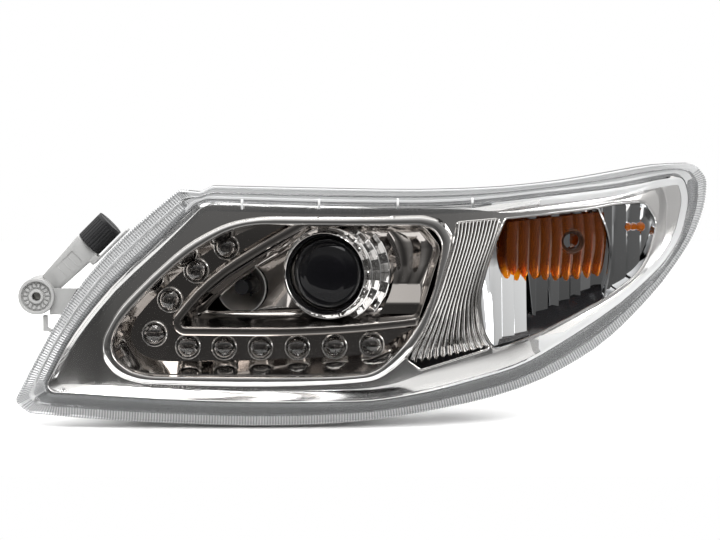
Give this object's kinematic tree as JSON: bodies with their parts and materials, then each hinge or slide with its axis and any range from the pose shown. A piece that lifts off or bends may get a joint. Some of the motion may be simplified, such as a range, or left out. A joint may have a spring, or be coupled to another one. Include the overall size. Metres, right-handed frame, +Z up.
{
  "type": "headlight assembly",
  "caption": "Swept-back vehicle headlight with clear lens, projector beam, light strip, amber signal chamber and screw aim adjusters.",
  "frame": {"origin": "mouth of the fixed pivot socket on the back of the housing", "axes": "+X outboard along the lamp, +Y back into the vehicle, +Z up"},
  "size_m": [0.7292, 0.2093, 0.2624],
  "materials": {
    "clear_lens": "gloss",
    "sealant": "matte",
    "housing_black": "matte",
    "bezel_chrome": "gloss",
    "smoke_chrome": "gloss",
    "bright_chrome": "gloss",
    "projector_glass": "gloss",
    "optic_plastic": "gloss",
    "circuit_board": "matte",
    "emitter": "gloss",
    "cast_metal": "satin",
    "black_metal": "matte",
    "steel": "satin",
    "amber_plastic": "gloss",
    "amber_glass": "gloss",
    "bulb_body": "satin",
    "holder_plastic": "matte",
    "rubber": "matte",
    "light_grey_plastic": "satin",
    "knob_black": "matte",
    "gear_nylon": "satin",
    "brass": "satin"
  },
  "bodies": {
    "lamp": {"amber_lens": "amber_plastic", "beam_surround": "smoke_chrome", "bracket_screws": "steel", "bulb_shield": "bright_chrome", "connector_pins": "brass", "connector_shell": "holder_plastic", "cutoff_shield": "black_metal", "fluted_panel": "bezel_chrome", "high_beam_reflector": "bright_chrome", "housing_screws": "steel", "inboard_adjuster_case": "light_grey_plastic", "inboard_adjuster_lid": "light_grey_plastic", "led_board": "circuit_board", "led_emitters": "emitter", "led_lens_01": "optic_plastic", "led_lens_02": "optic_plastic", "led_lens_03": "optic_plastic", "led_lens_04": "optic_plastic", "led_lens_05": "optic_plastic", "led_lens_06": "optic_plastic", "led_lens_07": "optic_plastic", "led_lens_08": "optic_plastic", "led_lens_09": "optic_plastic", "led_lens_10": "optic_plastic", "led_tray": "smoke_chrome", "lens_holder": "black_metal", "lens_seal": "sealant", "lower_adjuster_case": "light_grey_plastic", "lower_adjuster_lid": "light_grey_plastic", "main_bezel": "bezel_chrome", "outer_lens": "clear_lens", "pivot_grommet": "gear_nylon", "projector_bowl": "cast_metal", "projector_bracket": "cast_metal", "projector_lens": "projector_glass", "projector_shroud": "bright_chrome", "rear_housing": "housing_black", "turn_reflector": "bright_chrome", "vent_boots": "rubber"},
    "low_beam_bulb_body": {"low_beam_bulb": "bulb_body"},
    "high_beam_bulb_body": {"high_beam_bulb": "bulb_body"},
    "turn_holder_body": {"turn_holder": "holder_plastic", "turn_holder_gasket": "rubber", "turn_bulb": "amber_glass"},
    "marker_holder_body": {"marker_holder": "holder_plastic", "marker_holder_gasket": "rubber", "marker_bulb": "amber_glass"},
    "low_beam_cap_body": {"low_beam_cap": "rubber", "low_beam_cap_gasket": "sealant"},
    "high_beam_cap_body": {"high_beam_cap": "rubber", "high_beam_cap_gasket": "sealant"},
    "inboard_knob_body": {"inboard_aim_knob": "knob_black", "inboard_drive_shaft": "gear_nylon"},
    "inboard_gear_body": {"inboard_crown_gear": "gear_nylon"},
    "inboard_stud_body": {"inboard_aim_stud": "steel"},
    "lower_knob_body": {"lower_aim_knob": "knob_black", "lower_drive_shaft": "gear_nylon"},
    "lower_gear_body": {"lower_crown_gear": "gear_nylon"},
    "lower_stud_body": {"lower_aim_stud": "steel"}
  },
  "joints": [
    {"name": "low_beam_bulb_twist", "type": "hinge", "parent": "lamp", "child": "low_beam_bulb_body", "pos_m": [-0.10701, -0.06182, 0.024], "axis": [0.2588, 0.9659, 0], "range_deg": [0, 30]},
    {"name": "high_beam_bulb_twist", "type": "hinge", "parent": "lamp", "child": "high_beam_bulb_body", "pos_m": [-0.20958, -0.09764, 0.008], "axis": [0.2588, 0.9659, 0], "range_deg": [0, 30]},
    {"name": "turn_holder_twist", "type": "hinge", "parent": "lamp", "child": "turn_holder_body", "pos_m": [0.123, -0.0375, 0.053], "axis": [0, -1, 0], "range_deg": [0, 40]},
    {"name": "marker_holder_twist", "type": "hinge", "parent": "lamp", "child": "marker_holder_body", "pos_m": [0.193, -0.008, 0.065], "axis": [0, -1, 0], "range_deg": [0, 40]},
    {"name": "low_beam_cap_twist", "type": "hinge", "parent": "lamp", "child": "low_beam_cap_body", "pos_m": [-0.1, -0.035, 0.024], "axis": [0, -1, 0], "range_deg": [0, 30]},
    {"name": "high_beam_cap_twist", "type": "hinge", "parent": "lamp", "child": "high_beam_cap_body", "pos_m": [-0.197, -0.035, 0.008], "axis": [0, -1, 0], "range_deg": [0, 30]},
    {"name": "inboard_knob_turn", "type": "hinge", "parent": "lamp", "child": "inboard_knob_body", "pos_m": [-0.431, -0.14, 0], "axis": [0.7071, 0, 0.7071], "range_deg": [-2880, 2880]},
    {"name": "inboard_gear_turn", "type": "hinge", "parent": "lamp", "child": "inboard_gear_body", "pos_m": [-0.431, -0.14, 0], "axis": [0, 1, 0], "range_deg": [-1440, 1440]},
    {"name": "inboard_stud_travel", "type": "slide", "parent": "lamp", "child": "inboard_stud_body", "axis": [0, 1, 0], "range_m": [-0.005, 0.005]},
    {"name": "lower_knob_turn", "type": "hinge", "parent": "lamp", "child": "lower_knob_body", "pos_m": [0, -0.062, -0.066], "axis": [0.7071, 0, 0.7071], "range_deg": [-2880, 2880]},
    {"name": "lower_gear_turn", "type": "hinge", "parent": "lamp", "child": "lower_gear_body", "pos_m": [0, -0.062, -0.066], "axis": [0, 1, 0], "range_deg": [-1440, 1440]},
    {"name": "lower_stud_travel", "type": "slide", "parent": "lamp", "child": "lower_stud_body", "axis": [0, 1, 0], "range_m": [-0.005, 0.005]}
  ],
  "couplings": [
    {"joint": "inboard_gear_turn", "follows": "inboard_knob_turn", "ratio": -0.5},
    {"joint": "inboard_stud_travel", "follows": "inboard_knob_turn", "m_per_rad": 0.000099472},
    {"joint": "lower_gear_turn", "follows": "lower_knob_turn", "ratio": -0.5},
    {"joint": "lower_stud_travel", "follows": "lower_knob_turn", "m_per_rad": 0.000099472}
  ]
}
